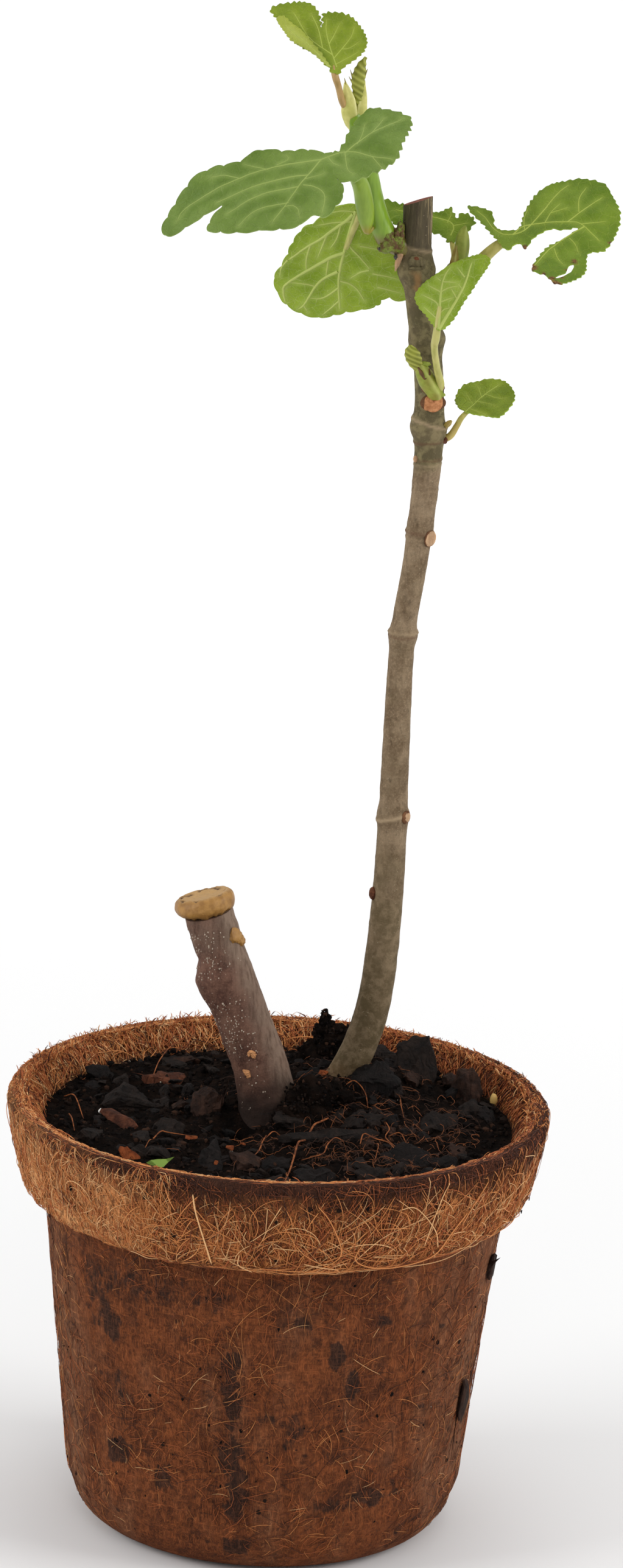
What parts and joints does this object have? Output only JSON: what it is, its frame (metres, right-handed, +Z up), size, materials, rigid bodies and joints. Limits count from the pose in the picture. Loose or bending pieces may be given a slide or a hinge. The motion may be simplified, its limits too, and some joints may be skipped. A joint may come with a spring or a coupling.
{
  "type": "potted fig tree",
  "caption": "Young fig with a waxed stump, a slim cane and lobed leaves, in a coconut-fibre pot with a folded collar.",
  "frame": {"origin": "centre of the pot's flat underside", "axes": "+Z up along the pot's axis, +X to the right and -Y to the front as the plant is seen with its stump on the left and its cane on the right"},
  "size_m": [0.1572, 0.15, 0.4268],
  "materials": {
    "coir": "matte fibre",
    "collar_coir": "matte fibre",
    "soil": "damp matte",
    "bark_chip": "matte",
    "stump_bark": "matte bark",
    "cane_bark": "satin bark",
    "wax": "satin",
    "green_stem": "satin",
    "bud": "satin",
    "leaf": "satin"
  },
  "bodies": {
    "root": {"coir_pot": "coir", "pot_collar": "collar_coir", "potting_soil": "soil", "bark_chip_low": "bark_chip", "bark_chip_high": "bark_chip", "cut_stump": "stump_bark", "wax_cap": "wax", "wax_drop": "wax", "main_cane": "cane_bark", "upper_shoot": "green_stem", "right_shoot": "green_stem", "top_leaf": "leaf", "wide_leaf": "leaf", "hanging_leaf": "leaf", "right_leaf": "leaf", "front_leaf": "leaf", "small_leaf": "leaf", "back_leaf": "leaf", "top_bud": "bud", "right_bud": "bud", "side_bud": "bud"}
  },
  "joints": []
}
